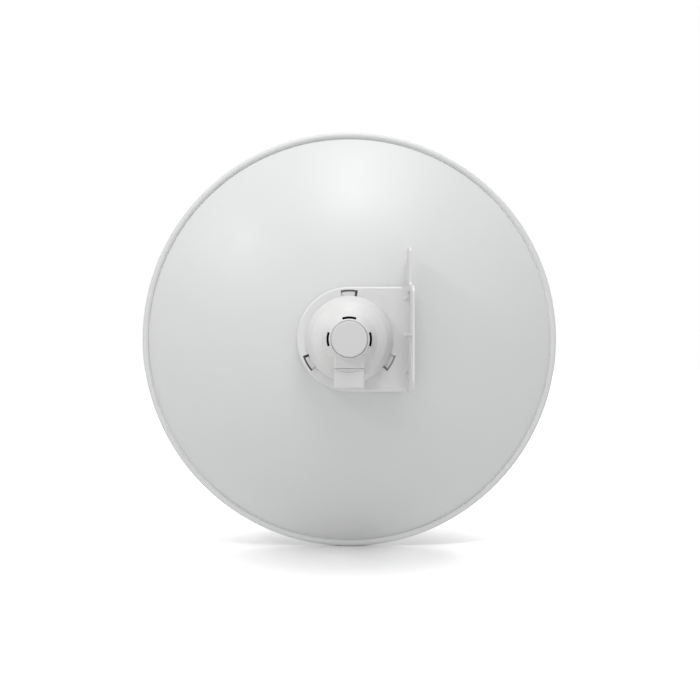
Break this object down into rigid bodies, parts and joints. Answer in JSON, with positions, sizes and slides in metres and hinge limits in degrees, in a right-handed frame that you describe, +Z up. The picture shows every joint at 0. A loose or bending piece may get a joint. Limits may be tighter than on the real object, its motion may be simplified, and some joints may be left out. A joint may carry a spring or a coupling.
{
  "type": "outdoor wireless bridge",
  "caption": "Round parabolic dish radio with a rolled rim, a bolted flange bracket, a twist-on rear housing with a release button and sliding port cover, and a feed that pulls out.",
  "frame": {"origin": "where the elevation pivot hole meets the outer face of the bracket's flange", "axes": "+Y along the beam out of the front of the dish, +Z up, +X out of the flange along the pivot hole"},
  "size_m": [0.42, 0.256, 0.42],
  "materials": {
    "dish_paint": "satin white powder coat",
    "bracket_paint": "satin white powder coat",
    "zinc_steel": "zinc plated",
    "seal_rubber": "matt",
    "white_plastic": "fine moulded texture",
    "spring_steel": "drawn wire",
    "cover_plastic": "fine moulded texture",
    "button_plastic": "satin",
    "grey_plastic": "matt",
    "bare_aluminium": "turned",
    "dielectric": "natural",
    "gold_plate": "gold plated",
    "board_green": "solder mask",
    "tin_plate": "tin plated",
    "chip_black": "moulded epoxy",
    "ferrite": "matt",
    "lamp_clear": "diffused lens",
    "gap_pad": "soft",
    "vent_foam": "open foam"
  },
  "bodies": {
    "reflector": {"dish_reflector": "dish_paint", "mounting_bracket": "bracket_paint", "bracket_screws": "zinc_steel", "bracket_nuts": "zinc_steel", "hub_seal": "seal_rubber"},
    "housing": {"rear_housing": "white_plastic", "button_spring": "spring_steel", "latch_clip": "spring_steel", "vent_screen": "vent_foam"},
    "cover": {"port_cover": "cover_plastic"},
    "button": {"release_button": "button_plastic"},
    "feed": {"feed_base": "grey_plastic", "tail_cover": "grey_plastic", "tail_screws": "zinc_steel", "tube_seal": "seal_rubber", "feed_tube": "white_plastic", "feed_cap": "white_plastic", "subreflector": "bare_aluminium", "subreflector_support": "dielectric", "waveguide_tube": "bare_aluminium", "feed_probes": "gold_plate", "radio_board": "board_green", "shield_cans": "tin_plate", "main_chips": "chip_black", "power_inductors": "ferrite", "ethernet_jack": "tin_plate", "jack_contacts": "gold_plate", "port_lamps": "lamp_clear", "ethernet_transformer": "chip_black", "reset_switch": "ferrite", "heat_spreader": "bare_aluminium", "thermal_pad": "gap_pad"},
    "reset": {"reset_button": "grey_plastic"}
  },
  "joints": [
    {"name": "housing_turn", "type": "hinge", "parent": "reflector", "child": "housing", "pos_m": [-0.057, 0.028, 0.036], "axis": [0, 1, 0], "range_deg": [0, 2.6]},
    {"name": "cover_slide", "type": "slide", "parent": "housing", "child": "cover", "axis": [0, 0, -1], "range_m": [0, 0.03]},
    {"name": "button_press", "type": "slide", "parent": "housing", "child": "button", "axis": [0, 1, 0], "range_m": [0, 0.003], "stiffness_N_per_m": 900, "springref_m": -0.001, "deforming": ["button_spring", "latch_clip"]},
    {"name": "feed_release", "type": "slide", "parent": "housing", "child": "feed", "axis": [0, 1, 0], "range_m": [0, 0.13]},
    {"name": "reset_press", "type": "slide", "parent": "feed", "child": "reset", "axis": [0, 0, 1], "range_m": [0, 0.0006], "stiffness_N_per_m": 1200, "springref_m": -0.0003}
  ]
}
